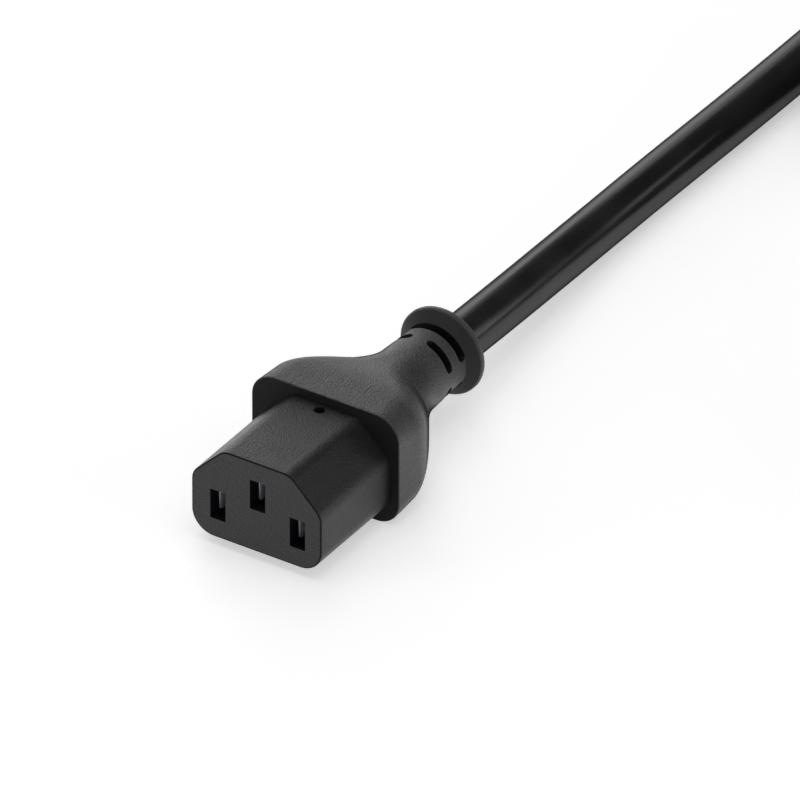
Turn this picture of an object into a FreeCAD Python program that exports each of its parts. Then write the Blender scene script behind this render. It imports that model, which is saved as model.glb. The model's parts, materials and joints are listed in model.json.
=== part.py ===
# A three-core extension cord: a moulded socket connector, its thick round cord, and a pin plug at the far end.
import FreeCAD, Part

import math
import os

import Sketcher

document = FreeCAD.newDocument("ExtensionCord")

# Driving dimensions in millimetres and degrees. Each end is measured from its mating face and its axis.
drivingSizes = {
    # The connector's nose, the part that goes into an inlet.
    "noseWidth": 22.8,
    "noseHeight": 15.6,
    "noseLength": 18.5,
    "noseChamfer": 5.5,
    "noseCornerRadius": 3.8,
    "noseRidgeRadius": 0.7,
    "noseFaceRadius": 0.4,
    "ventDiameter": 1.6,
    "ventSetback": 1.55,
    # The connector's grip behind the nose.
    "gripWidth": 26.0,
    "gripHeight": 18.7,
    "gripLength": 5.4,
    "gripCornerRadius": 3.9,
    "gripFlareLength": 17.1,
    # The three poles, shared by both ends.
    "poleSpacing": 7.0,
    "poleDrop": 2.0,
    "earthRise": 2.0,
    "slotWidth": 2.7,
    "slotHeight": 5.1,
    "slotWall": 2.0,
    # The inner carrier of the contacts.
    "carrierLength": 20.0,
    "carrierCover": 1.5,
    "carrierCornerRadius": 2.2,
    "carrierEndWall": 1.5,
    "chamberWidth": 3.8,
    "chamberHeight": 6.0,
    # A contact: two sprung leaves under a spine, folded from brass strip.
    "stripThickness": 0.45,
    "leafHeight": 4.9,
    "leafLength": 15.6,
    "leafCornerRadius": 1.3,
    "mouthGap": 2.7,
    "pinchGap": 1.8,
    "pinchSetback": 4.4,
    "pinchLength": 1.0,
    "springLength": 3.6,
    "heelGap": 2.5,
    "spineSetback": 2.6,
    # Crimps, conductors and insulated cores.
    "crimpDiameter": 2.5,
    "conductorDiameter": 1.6,
    "coreDiameter": 2.6,
    "coreLead": 4.4,
    "bundleLength": 4.4,
    "bundleRadius": 1.55,
    # The neck with its relief slots, and the collar that the cord leaves, alike on both ends.
    "flareEndRadius": 5.75,
    "flareEndFlat": 0.15,
    "neckFrontRadius": 5.82,
    "neckRadius": 5.55,
    "neckTaperLength": 4.0,
    "neckLength": 7.5,
    "collarRadius": 6.9,
    "collarLength": 1.7,
    "collarChamfer": 0.5,
    "reliefFloorRadius": 4.2,
    "frontReliefSetback": 4.6,
    "frontReliefLength": 1.15,
    "frontReliefAngle": 62.0,
    "rearReliefLength": 1.2,
    "rearReliefAngle": 146.0,
    "jacketGrip": 12.2,
    # The plug's shroud, its cavity and its pins.
    "shroudWidth": 28.0,
    "shroudHeight": 20.0,
    "shroudLength": 19.5,
    "shroudChamfer": 6.0,
    "shroudCornerRadius": 4.2,
    "shroudRidgeRadius": 1.2,
    "shroudWall": 1.75,
    "shroudFaceRadius": 0.4,
    "cavityDepth": 17.9,
    "cavityFloor": 1.2,
    "pinWidth": 2.0,
    "pinHeight": 4.0,
    "pinReach": 12.0,
    "earthPinReach": 13.5,
    "pinRoot": 3.6,
    "pinTipChamfer": 0.7,
    "pinCarrierWidth": 22.0,
    "pinCarrierHeight": 12.0,
    "pinCarrierLength": 7.0,
    "pinSeatLength": 2.4,
    # The plug's grip.
    "plugWidth": 28.8,
    "plugHeight": 20.8,
    "plugLength": 7.0,
    "plugCornerRadius": 4.8,
    "plugFlareLength": 16.3,
    "plugX": 90.2,
    "plugY": 38.5,
    # The cord, its coil and the tie round the coil.
    "cordDiameter": 7.6,
    "coilX": 49.05,
    "coilY": 144.9,
    "coilRadius": 51.45,
    "coilLayerTurns": 2.75,
    "coilChamfer": 2.6,
    "coilEndSetback": 1.5,
    "tieWidth": 9.0,
    "tieThickness": 0.8,
    # Clearances.
    "jacketClearance": 0.12,
    "fitClearance": 0.05,
    "notchClearance": 0.3,
}
sheet = document.addObject("Spreadsheet::Sheet", "Sizes")
for row, (alias, size) in enumerate(drivingSizes.items(), start=1):
    sheet.set(f"A{row}", alias)
    sheet.set(f"B{row}", str(size))
    sheet.setAlias(f"B{row}", alias)
document.recompute()

vector = FreeCAD.Vector
along = vector(0, 1, 0)
up = vector(0, 0, 1)
across = vector(1, 0, 0)
beyond = 1.0            # how far a cutting tool passes the face that it opens
flareSteps = 6          # sections along a flare, its two ends not both counted
trimShare = 0.45        # share of the shorter run that an arc of a cord takes

# Turns that stand a flat sketch up: across the object, and along it.
frontTurn = FreeCAD.Rotation(across, 90)
sideTurn = FreeCAD.Rotation(vector(1, 1, 1), 120)
flatTurn = FreeCAD.Rotation()

subParts = {}


# Expressions and their values

def number(expression):
    return float(sheet.evalExpression(str(expression)))


def bindPlace(item, place, prefix="Placement.Base"):
    for axis, expression in zip("xyz", place):
        item.setExpression(f"{prefix}.{axis}", expression)


def offset(frame, x, y, z):
    return [f"{origin} + ({move})" for origin, move in zip(frame, (x, y, z))]


def keep(label, item):
    item.Label = label
    subParts[label] = item
    return item


# Sketched outlines: the corners run anticlockwise, each with its own radius, and a radius of 0 is sharp

def drawOutline(sketch, corners):
    points = [vector(number(x), number(y), 0) for x, y, radius in corners]
    radii = [number(radius) for x, y, radius in corners]
    count = len(corners)
    starts, ends, arcs = [], [], []
    for index, point in enumerate(points):
        back = (points[index - 1] - point).normalize()
        ahead = (points[(index + 1) % count] - point).normalize()
        halfAngle = back.getAngle(ahead) / 2
        trim = radii[index] / math.tan(halfAngle)
        starts.append(point + back * trim)
        ends.append(point + ahead * trim)
        centre = point + (back + ahead).normalize() * (radii[index] / math.sin(halfAngle))
        arcs.append((centre, (-back).cross(ahead).z > 0))
    lines = [sketch.addGeometry(Part.LineSegment(ends[i], starts[(i + 1) % count])) for i in range(count)]
    constraints, bindings = [], []
    for index, (x, y, radius) in enumerate(corners):
        mark = sketch.addGeometry(Part.Point(points[index]), True)
        bindings.append((len(constraints), f"across{index}", x))
        constraints.append(Sketcher.Constraint("DistanceX", -1, 1, mark, 1, points[index].x))
        bindings.append((len(constraints), f"up{index}", y))
        constraints.append(Sketcher.Constraint("DistanceY", -1, 1, mark, 1, points[index].y))
        before, after = lines[index - 1], lines[index]
        if radii[index] == 0:
            constraints.append(Sketcher.Constraint("Coincident", before, 2, mark, 1))
            constraints.append(Sketcher.Constraint("Coincident", after, 1, mark, 1))
            continue
        centre, convex = arcs[index]
        circle = Part.Circle(centre, up, radii[index])
        first, last = (starts[index], ends[index]) if convex else (ends[index], starts[index])
        angles = [math.atan2(end.y - centre.y, end.x - centre.x) for end in (first, last)]
        if angles[1] < angles[0]:
            angles[1] += 2 * math.pi
        arc = sketch.addGeometry(Part.ArcOfCircle(circle, *angles))
        startEnd, endEnd = (1, 2) if convex else (2, 1)
        constraints.append(Sketcher.Constraint("PointOnObject", mark, 1, before))
        constraints.append(Sketcher.Constraint("PointOnObject", mark, 1, after))
        constraints.append(Sketcher.Constraint("Tangent", before, 2, arc, startEnd))
        constraints.append(Sketcher.Constraint("Tangent", arc, endEnd, after, 1))
        bindings.append((len(constraints), f"radius{index}", radius))
        constraints.append(Sketcher.Constraint("Radius", arc, radii[index]))
    sketch.addConstraint(constraints)
    for index, name, expression in bindings:
        sketch.renameConstraint(index, name)
        sketch.setExpression(f"Constraints.{name}", str(expression))
    return sketch


def outline(name, corners, place, turn):
    sketch = document.addObject("Sketcher::SketchObject", name)
    sketch.Placement = FreeCAD.Placement(vector(), turn)
    bindPlace(sketch, place)
    return drawOutline(sketch, corners)


def rectangleCorners(halfWidth, halfHeight, radius):
    return [
        (f"-({halfWidth})", f"-({halfHeight})", radius),
        (f"{halfWidth}", f"-({halfHeight})", radius),
        (f"{halfWidth}", f"{halfHeight}", radius),
        (f"-({halfWidth})", f"{halfHeight}", radius),
    ]


# A pole face outline: round corners below, slanted corners above.
def poleCorners(halfWidth, halfHeight, chamfer, cornerRadius, ridgeRadius):
    return [
        (f"-({halfWidth})", f"-({halfHeight})", cornerRadius),
        (f"{halfWidth}", f"-({halfHeight})", cornerRadius),
        (f"{halfWidth}", f"{halfHeight} - ({chamfer})", ridgeRadius),
        (f"{halfWidth} - ({chamfer})", f"{halfHeight}", ridgeRadius),
        (f"-({halfWidth}) + {chamfer}", f"{halfHeight}", ridgeRadius),
        (f"-({halfWidth})", f"{halfHeight} - ({chamfer})", ridgeRadius),
    ]


# Solids whose sizes follow the sheet

def extrude(name, sketch, direction, length):
    solid = document.addObject("Part::Extrusion", name)
    solid.Base = sketch
    solid.DirMode = "Custom"
    solid.Dir = direction
    solid.Solid = True
    solid.setExpression("LengthFwd", length)
    return solid


def revolve(name, sketch, axis, place):
    solid = document.addObject("Part::Revolution", name)
    solid.Source = sketch
    solid.Axis = axis
    solid.Angle = 360
    solid.Solid = True
    bindPlace(solid, place, "Base")
    return solid


def loft(name, sections):
    solid = document.addObject("Part::Loft", name)
    solid.Sections = sections
    solid.Solid = True
    return solid


def box(name, place, width, length, height):
    solid = document.addObject("Part::Box", name)
    bindPlace(solid, place)
    for side, expression in (("Length", width), ("Width", length), ("Height", height)):
        solid.setExpression(side, expression)
    return solid


def cylinder(name, place, turn, radius, height):
    solid = document.addObject("Part::Cylinder", name)
    solid.Placement = FreeCAD.Placement(vector(), turn)
    bindPlace(solid, place)
    solid.setExpression("Radius", radius)
    solid.setExpression("Height", height)
    return solid


# A round bar or bore along the lead, from its front end.
alongTurn = FreeCAD.Rotation(across, -90)


def fuse(name, solids):
    whole = document.addObject("Part::MultiFuse", name)
    whole.Shapes = solids
    return whole


def cut(name, base, tool):
    rest = document.addObject("Part::Cut", name)
    rest.Base = base
    rest.Tool = tool
    return rest


def roundEdges(name, base, radius, chosen):
    document.recompute()
    rounded = document.addObject("Part::Fillet", name)
    rounded.Base = base
    size = number(radius)
    rounded.Edges = [(i, size, size) for i, edge in enumerate(base.Shape.Edges, start=1) if chosen(edge)]
    return rounded


def liesAt(edge, height, axis):
    low, high = edge.BoundBox.getPoint(0)[axis], edge.BoundBox.getPoint(6)[axis]
    return abs(low - height) < 1e-4 and abs(high - height) < 1e-4


# Tubes: a cord's straight runs are joined by tangent arcs, and a short core's runs meet in mitres

def cordShape(points, diameter, name):
    edges = []
    cursor = points[0]
    radii = []
    for before, corner, after in zip(points, points[1:], points[2:]):
        back, ahead = before - corner, after - corner
        trim = trimShare * min(back.Length, ahead.Length)
        back.normalize()
        ahead.normalize()
        halfTurn = (math.pi - back.getAngle(ahead)) / 2
        radius = trim / math.tan(halfTurn)
        radii.append(radius)
        start, end = corner + back * trim, corner + ahead * trim
        middle = corner + (back + ahead).normalize() * (radius / math.cos(halfTurn) - radius)
        edges.append(Part.LineSegment(cursor, start).toShape())
        edges.append(Part.Arc(start, middle, end).toShape())
        cursor = end
    edges.append(Part.LineSegment(cursor, points[-1]).toShape())
    path = Part.Wire(edges)
    section = Part.Wire(Part.Circle(points[0], points[1] - points[0], diameter / 2).toShape())
    shape = path.makePipeShell([section], True, False)
    share = shape.Volume / (math.pi * diameter ** 2 / 4 * path.Length)
    print(f"{name}: radii {[round(r, 1) for r in radii]}, length {path.Length:.1f}, volume share {share:.4f}")
    return shape


def mitredShape(points, diameter):
    path = Part.makePolygon(points)
    section = Part.Wire(Part.Circle(points[0], points[1] - points[0], diameter / 2).toShape())
    return path.makePipeShell([section], True, False, 1)


def keepShape(label, shape, place=None):
    solid = document.addObject("Part::Feature", label)
    solid.Shape = shape
    if place:
        bindPlace(solid, place)
    return keep(label, solid)


# The two ends of the lead

gripFront = "Sizes.noseLength"
gripRear = f"{gripFront} + Sizes.gripLength"
connectorNeck = f"{gripRear} + Sizes.gripFlareLength"
connectorCollar = f"{connectorNeck} + Sizes.neckLength"
connectorLength = f"{connectorCollar} + Sizes.collarLength"

plugGripRear = "Sizes.shroudLength + Sizes.plugLength"
plugNeck = f"{plugGripRear} + Sizes.plugFlareLength"
plugCollar = f"{plugNeck} + Sizes.neckLength"

# The origin is on the floor under the middle of the connector, which rests on its grip.
connectorFrame = ("0", f"-({connectorLength}) / 2", "Sizes.gripHeight / 2")
plugFrame = ("Sizes.plugX", "Sizes.plugY", "Sizes.plugHeight / 2")

# Each pole has its place across the face, its height above the axis, and its place in the bundle of cores.
poleHeights = {"line": "-Sizes.poleDrop", "neutral": "-Sizes.poleDrop", "earth": "Sizes.earthRise"}
connectorSides = {"line": -1, "neutral": 1, "earth": 0}
plugSides = {"line": 1, "neutral": -1, "earth": 0}


def poleAcross(side):
    return f"{side} * Sizes.poleSpacing"


# The body behind the face: a straight grip, a flare down to the neck, the neck and its collar.
def gripSolids(name, frame, front, length, flareLength, halfWidth, halfHeight, cornerRadius):
    rear = f"{front} + {length}"
    end = "Sizes.flareEndRadius"

    def section(label, station, halfA, halfB, radius):
        corners = rectangleCorners(halfA, halfB, radius)
        return outline(name + label, corners, offset(frame, 0, station, 0), frontTurn)

    grip = extrude(name + "Grip", section("GripFront", front, halfWidth, halfHeight, cornerRadius), along, length)
    sections = []
    for step in range(flareSteps + 1):
        share = (1 + math.cos(math.pi * step / flareSteps)) / 2
        station = f"{rear} + {flareLength} * {step} / {flareSteps}"
        halfA = f"{end} + ({halfWidth} - {end}) * {share}"
        halfB = f"{end} + ({halfHeight} - {end}) * {share}"
        radius = f"({end} - Sizes.flareEndFlat) * {1 - share} + {cornerRadius} * {share}"
        sections.append(section(f"Flare{step}", station, halfA, halfB, radius))
    return [grip, loft(name + "Flare", sections)]


def neckSolid(name, frame, neckFront):
    start = f"{neckFront} - {beyond}"
    taperEnd = f"{neckFront} + Sizes.neckTaperLength"
    collarFront = f"{neckFront} + Sizes.neckLength"
    collarRear = f"{collarFront} + Sizes.collarLength"
    corners = [
        (start, "0", 0),
        (collarRear, "0", 0),
        (collarRear, "Sizes.collarRadius - Sizes.collarChamfer", 0),
        (f"{collarRear} - Sizes.collarChamfer", "Sizes.collarRadius", 0),
        (f"{collarFront} + Sizes.collarChamfer", "Sizes.collarRadius", 0),
        (collarFront, "Sizes.collarRadius - Sizes.collarChamfer", 0),
        (collarFront, "Sizes.neckRadius", 0),
        (taperEnd, "Sizes.neckRadius", 0),
        (neckFront, "Sizes.neckFrontRadius", 0),
        (start, "Sizes.neckFrontRadius - Sizes.flareEndFlat", 0),
    ]
    profile = outline(name + "NeckProfile", corners, frame, sideTurn)
    return revolve(name + "Neck", profile, along, frame)


# The relief slots: four short ones in front, and two long ones against the collar.
def reliefSlots(name, frame, collarFront):
    slots = []
    rings = (
        ("Front", f"{collarFront} - Sizes.frontReliefSetback - Sizes.frontReliefLength / 2",
         "Sizes.frontReliefLength", "Sizes.frontReliefAngle", (45, 135, 225, 315)),
        ("Rear", f"{collarFront} - Sizes.rearReliefLength", "Sizes.rearReliefLength",
         "Sizes.rearReliefAngle", (90, 270)),
    )
    for ring, station, length, angle, middles in rings:
        place = offset(frame, 0, station, 0)
        for middle in middles:
            label = f"{name}{ring}Relief{middle}"
            turn = FreeCAD.Rotation(along, -(middle - number(angle) / 2)).multiply(alongTurn)
            sector = cylinder(label + "Sector", place, turn, "Sizes.collarRadius", length)
            sector.setExpression("Angle", angle)
            floor = cylinder(label + "Floor", place, turn, "Sizes.reliefFloorRadius", length)
            slots.append(cut(label, sector, floor))
    return slots


# Insulated cores run from the crimps to a bundle that enters the jacket.
def cores(labels, frame, sides, coreFront, jacketFront):
    solids = []
    bundleFront = f"{jacketFront} - Sizes.bundleLength"
    leadEnd = f"{coreFront} + Sizes.coreLead"
    bundleAngles = {"earth": 90, "line": 90 - 120 * sides["line"], "neutral": 90 - 120 * sides["neutral"]}
    for pole, height in poleHeights.items():
        angle = math.radians(bundleAngles[pole])
        bundleX = number("Sizes.bundleRadius") * math.cos(angle)
        bundleZ = number("Sizes.bundleRadius") * math.sin(angle)
        x, z = number(poleAcross(sides[pole])), number(height)
        points = [
            vector(x, number(coreFront), z),
            vector(x, number(leadEnd), z),
            vector(bundleX, number(bundleFront), bundleZ),
            vector(bundleX, number(jacketFront), bundleZ),
        ]
        solids.append(keepShape(labels[pole], mitredShape(points, number("Sizes.coreDiameter")), frame))
    return solids


# Conductors reach from the crimp to the front of the insulation.
def conductors(labels, frame, sides, crimpFront, coreFront):
    for pole, height in poleHeights.items():
        place = offset(frame, poleAcross(sides[pole]), f"{crimpFront} + Sizes.fitClearance", height)
        length = f"{coreFront} - ({crimpFront}) - Sizes.fitClearance"
        bar = cylinder(labels[pole] + "_bar", place, alongTurn, "Sizes.conductorDiameter / 2", length)
        keep(labels[pole], bar)


def crimpSolid(name, frame, side, height, crimpFront, length):
    place = offset(frame, poleAcross(side), crimpFront, height)
    barrel = cylinder(name + "Barrel", place, alongTurn, "Sizes.crimpDiameter / 2", length)
    bore = cylinder(name + "Bore", place, alongTurn, "Sizes.conductorDiameter / 2", f"{length} + {beyond}")
    return cut(name + "Crimp", barrel, bore)


# Chambers open to the front of a carrier, and core holes through its end wall.
def carrierCuts(name, frame, sides, front, rear, chamberFront):
    chamberRear = f"{rear} - Sizes.carrierEndWall"
    tools = []
    for pole, height in poleHeights.items():
        x = poleAcross(sides[pole])
        place = offset(frame, f"{x} - Sizes.chamberWidth / 2", chamberFront, f"{height} - Sizes.chamberHeight / 2")
        tools.append(box(f"{name}{pole}Chamber", place, "Sizes.chamberWidth",
                         f"{chamberRear} - ({chamberFront})", "Sizes.chamberHeight"))
        hole = offset(frame, x, f"{chamberRear} - {beyond}", height)
        tools.append(cylinder(f"{name}{pole}Hole", hole, alongTurn,
                              "Sizes.coreDiameter / 2 + Sizes.fitClearance",
                              f"Sizes.carrierEndWall + 2 * {beyond}"))
    return tools


# Socket connector

connectorLabels = {
    "contact": {pole: f"{pole}_contact" for pole in poleHeights},
    "conductor": {pole: f"{pole}_conductor" for pole in poleHeights},
    "core": {pole: f"{pole}_core" for pole in poleHeights},
}
carrierFront = "Sizes.slotWall + Sizes.fitClearance"
carrierRear = "Sizes.slotWall + Sizes.carrierLength"
leafFront = f"{carrierFront} + Sizes.stripThickness"
crimpFront = f"{leafFront} + Sizes.leafLength"
coreFront = f"{carrierRear} - Sizes.carrierEndWall + 2 * Sizes.fitClearance"
connectorJacket = f"{connectorCollar} + Sizes.collarLength - Sizes.jacketGrip"


def makeContact(pole, side, height):
    label = connectorLabels["contact"][pole]
    frame = offset(connectorFrame, poleAcross(side), leafFront, height)
    pinch = "Sizes.pinchSetback"
    pinchEnd = f"{pinch} + Sizes.pinchLength"
    heel = f"{pinchEnd} + Sizes.springLength"
    inner = [
        ("Sizes.mouthGap / 2", "0"),
        ("Sizes.pinchGap / 2", pinch),
        ("Sizes.pinchGap / 2", pinchEnd),
        ("Sizes.heelGap / 2", heel),
        ("Sizes.heelGap / 2", "Sizes.leafLength - Sizes.stripThickness"),
    ]
    outer = [(f"{x} + Sizes.stripThickness", y) for x, y in inner[:-1]]
    outer.append(("Sizes.heelGap / 2 + Sizes.stripThickness", "Sizes.leafLength"))
    right = [(x, y, 0) for x, y in outer]
    left = [(f"-({x})", y, 0) for x, y in reversed(outer)]
    innerLeft = [(f"-({x})", y, 0) for x, y in inner]
    innerRight = [(x, y, 0) for x, y in reversed(inner)]
    bottom = offset(frame, 0, 0, "-Sizes.leafHeight / 2")
    profile = outline(label + "Profile", right + left + innerLeft + innerRight, bottom, flatTurn)
    leaves = extrude(label + "Leaves", profile, up, "Sizes.leafHeight")
    front = number(frame[1])
    floor = number(bottom[2])
    rounded = roundEdges(label + "Rounded", leaves, "Sizes.leafCornerRadius",
                         lambda edge: liesAt(edge, front, 1) and liesAt(edge, floor, 2))
    halfSpine = "(Sizes.heelGap / 2 + Sizes.stripThickness)"
    spinePlace = offset(frame, f"-{halfSpine}", "Sizes.spineSetback", "Sizes.leafHeight / 2")
    spine = box(label + "Spine", spinePlace, f"2 * {halfSpine}",
                "Sizes.leafLength - Sizes.spineSetback", "Sizes.stripThickness")
    crimpLength = f"{carrierRear} - Sizes.carrierEndWall - Sizes.fitClearance - ({crimpFront})"
    crimp = crimpSolid(label, connectorFrame, side, height, crimpFront, crimpLength)
    keep(label, fuse(label + "_whole", [rounded, spine, crimp]))


def makeConnector():
    frame = connectorFrame
    nosePoints = poleCorners("Sizes.noseWidth / 2", "Sizes.noseHeight / 2", "Sizes.noseChamfer",
                             "Sizes.noseCornerRadius", "Sizes.noseRidgeRadius")
    noseOutline = outline("NoseOutline", nosePoints, frame, frontTurn)
    nose = extrude("Nose", noseOutline, along, f"Sizes.noseLength + {beyond}")
    noseRounded = roundEdges("NoseRounded", nose, "Sizes.noseFaceRadius",
                             lambda edge: liesAt(edge, number(frame[1]), 1))
    grip = gripSolids("Connector", frame, gripFront, "Sizes.gripLength", "Sizes.gripFlareLength",
                      "Sizes.gripWidth / 2", "Sizes.gripHeight / 2", "Sizes.gripCornerRadius")
    neck = neckSolid("Connector", frame, connectorNeck)
    moulding = fuse("ConnectorMoulding", [noseRounded] + grip + [neck])

    halfCarrier = "(Sizes.noseWidth / 2 - Sizes.carrierCover)"
    halfCarrierHeight = "(Sizes.noseHeight / 2 - Sizes.carrierCover)"

    def carrierBlock(name, shrink, front, rear):
        corners = poleCorners(f"{halfCarrier} - {shrink}", f"{halfCarrierHeight} - {shrink}",
                              "Sizes.noseChamfer", "Sizes.carrierCornerRadius", "Sizes.noseRidgeRadius")
        sketch = outline(name + "Outline", corners, offset(frame, 0, front, 0), frontTurn)
        return extrude(name, sketch, along, f"{rear} - ({front})")

    pocket = carrierBlock("CarrierPocket", "0", "Sizes.slotWall", f"{carrierRear} + Sizes.fitClearance")
    tools = [pocket]
    for pole, height in poleHeights.items():
        x = poleAcross(connectorSides[pole])
        place = offset(frame, f"{x} - Sizes.slotWidth / 2", -beyond, f"{height} - Sizes.slotHeight / 2")
        tools.append(box(f"{pole}Slot", place, "Sizes.slotWidth", f"Sizes.slotWall + 2 * {beyond}",
                         "Sizes.slotHeight"))
    ventPlace = offset(frame, 0, "Sizes.noseLength - Sizes.ventSetback", halfCarrierHeight)
    tools.append(cylinder("Vent", ventPlace, flatTurn, "Sizes.ventDiameter / 2",
                          f"Sizes.carrierCover + {beyond}"))
    tools += reliefSlots("Connector", frame, connectorCollar)
    borePlace = offset(frame, 0, connectorJacket, 0)
    tools.append(cylinder("ConnectorBore", borePlace, alongTurn,
                          "Sizes.cordDiameter / 2 + Sizes.jacketClearance", f"Sizes.jacketGrip + {beyond}"))
    tools += cores(connectorLabels["core"], frame, connectorSides, coreFront, connectorJacket)
    keep("connector_housing", cut("connector_housing_cut", moulding, fuse("ConnectorCuts", tools)))

    block = carrierBlock("CarrierBlock", "Sizes.fitClearance", carrierFront, carrierRear)
    cuts = carrierCuts("Carrier", frame, connectorSides, carrierFront, carrierRear, f"{carrierFront} - {beyond}")
    keep("contact_carrier", cut("contact_carrier_cut", block, fuse("CarrierCuts", cuts)))
    for pole, height in poleHeights.items():
        makeContact(pole, connectorSides[pole], height)
    conductors(connectorLabels["conductor"], frame, connectorSides, crimpFront, coreFront)


# Pin plug

plugLabels = {
    "pin": {pole: f"{pole}_pin" for pole in poleHeights},
    "conductor": {pole: f"plug_{pole}_conductor" for pole in poleHeights},
    "core": {pole: f"plug_{pole}_core" for pole in poleHeights},
}
pinReaches = {"line": "Sizes.pinReach", "neutral": "Sizes.pinReach", "earth": "Sizes.earthPinReach"}
pinCarrierFront = "Sizes.cavityDepth + Sizes.cavityFloor + Sizes.fitClearance"
pinCarrierRear = "Sizes.cavityDepth + Sizes.cavityFloor + Sizes.pinCarrierLength"
pinChamberFront = f"{pinCarrierFront} + Sizes.pinSeatLength"
pinRear = "Sizes.cavityDepth + Sizes.cavityFloor + Sizes.pinRoot"
plugCoreFront = f"{pinCarrierRear} - Sizes.carrierEndWall + 2 * Sizes.fitClearance"
plugJacket = f"{plugCollar} + Sizes.collarLength - Sizes.jacketGrip"


# A pin is a flat blade with a slanted tip, padded from its section and crimped behind.
def makePin(pole, side, height):
    label = plugLabels["pin"][pole]
    body = document.addObject("PartDesign::Body", label + "_body")
    bindPlace(body, offset(plugFrame, poleAcross(side), f"Sizes.cavityDepth - {pinReaches[pole]}", height))
    plane = next(item for item in body.Origin.OriginFeatures if item.Role == "XZ_Plane")
    section = body.newObject("Sketcher::SketchObject", label + "Section")
    section.AttachmentSupport = (plane, [""])
    section.MapMode = "FlatFace"
    drawOutline(section, rectangleCorners("Sizes.pinWidth / 2", "Sizes.pinHeight / 2", 0))
    blade = body.newObject("PartDesign::Pad", label + "Blade")
    blade.Profile = section
    blade.Reversed = True
    blade.setExpression("Length", f"{pinReaches[pole]} + Sizes.cavityFloor + Sizes.pinRoot")
    document.recompute()
    tip = body.newObject("PartDesign::Chamfer", label + "Tip")
    edges = [f"Edge{i}" for i, edge in enumerate(blade.Shape.Edges, start=1) if liesAt(edge, 0, 1)]
    tip.Base = (blade, edges)
    tip.setExpression("Size", "Sizes.pinTipChamfer")
    crimpLength = f"{pinCarrierRear} - Sizes.carrierEndWall - Sizes.fitClearance - ({pinRear})"
    crimp = crimpSolid(label, plugFrame, side, height, pinRear, crimpLength)
    keep(label, fuse(label + "_whole", [body, crimp]))


def makePlug():
    frame = plugFrame
    outerPoints = poleCorners("Sizes.shroudWidth / 2", "Sizes.shroudHeight / 2", "Sizes.shroudChamfer",
                              "Sizes.shroudCornerRadius", "Sizes.shroudRidgeRadius")
    shroudOutline = outline("ShroudOutline", outerPoints, frame, frontTurn)
    shroud = extrude("Shroud", shroudOutline, along, f"Sizes.shroudLength + {beyond}")
    shroudRounded = roundEdges("ShroudRounded", shroud, "Sizes.shroudFaceRadius",
                               lambda edge: liesAt(edge, number(frame[1]), 1))
    grip = gripSolids("Plug", frame, "Sizes.shroudLength", "Sizes.plugLength", "Sizes.plugFlareLength",
                      "Sizes.plugWidth / 2", "Sizes.plugHeight / 2", "Sizes.plugCornerRadius")
    neck = neckSolid("Plug", frame, plugNeck)
    moulding = fuse("PlugMoulding", [shroudRounded] + grip + [neck])

    wall = "Sizes.shroudWall"
    cavityPoints = poleCorners(f"(Sizes.shroudWidth / 2 - {wall})", f"(Sizes.shroudHeight / 2 - {wall})",
                               "Sizes.shroudChamfer", f"Sizes.shroudCornerRadius - {wall}",
                               "Sizes.shroudRidgeRadius / 2")
    cavityOutline = outline("CavityOutline", cavityPoints, offset(frame, 0, -beyond, 0), frontTurn)
    tools = [extrude("Cavity", cavityOutline, along, f"Sizes.cavityDepth + {beyond}")]

    def carrierBlock(name, grow, front, rear):
        corners = poleCorners(f"(Sizes.pinCarrierWidth / 2 + {grow})", f"(Sizes.pinCarrierHeight / 2 + {grow})",
                              "Sizes.noseChamfer / 2", "Sizes.carrierCornerRadius", "Sizes.noseRidgeRadius")
        sketch = outline(name + "Outline", corners, offset(frame, 0, front, 0), frontTurn)
        return extrude(name, sketch, along, f"{rear} - ({front})")

    tools.append(carrierBlock("PinCarrierPocket", "Sizes.fitClearance", "Sizes.cavityDepth + Sizes.cavityFloor",
                              f"{pinCarrierRear} + Sizes.fitClearance"))

    def pinSeats(name, front, length):
        seats = []
        for pole, height in poleHeights.items():
            place = offset(frame, f"{poleAcross(plugSides[pole])} - Sizes.pinWidth / 2", front,
                           f"{height} - Sizes.pinHeight / 2")
            seats.append(box(f"{name}{pole}Seat", place, "Sizes.pinWidth", length, "Sizes.pinHeight"))
        return seats

    tools += pinSeats("Floor", f"Sizes.cavityDepth - {beyond}", f"Sizes.cavityFloor + 2 * {beyond}")
    tools += reliefSlots("Plug", frame, plugCollar)
    tools.append(cylinder("PlugBore", offset(frame, 0, plugJacket, 0), alongTurn,
                          "Sizes.cordDiameter / 2 + Sizes.jacketClearance", f"Sizes.jacketGrip + {beyond}"))
    tools += cores(plugLabels["core"], frame, plugSides, plugCoreFront, plugJacket)
    keep("plug_housing", cut("plug_housing_cut", moulding, fuse("PlugCuts", tools)))

    block = carrierBlock("PinCarrierBlock", "0", pinCarrierFront, pinCarrierRear)
    cuts = carrierCuts("PinCarrier", frame, plugSides, pinCarrierFront, pinCarrierRear, pinChamberFront)
    cuts += pinSeats("Carrier", f"{pinCarrierFront} - {beyond}", f"Sizes.pinSeatLength + 2 * {beyond}")
    keep("pin_carrier", cut("pin_carrier_cut", block, fuse("PinCarrierCuts", cuts)))
    for pole, height in poleHeights.items():
        makePin(pole, plugSides[pole], height)
    conductors(plugLabels["conductor"], frame, plugSides, pinRear, plugCoreFront)


# Cord: the stretch to the coil, the coil's outer shape, the tie round it, and the tail to the plug

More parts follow.
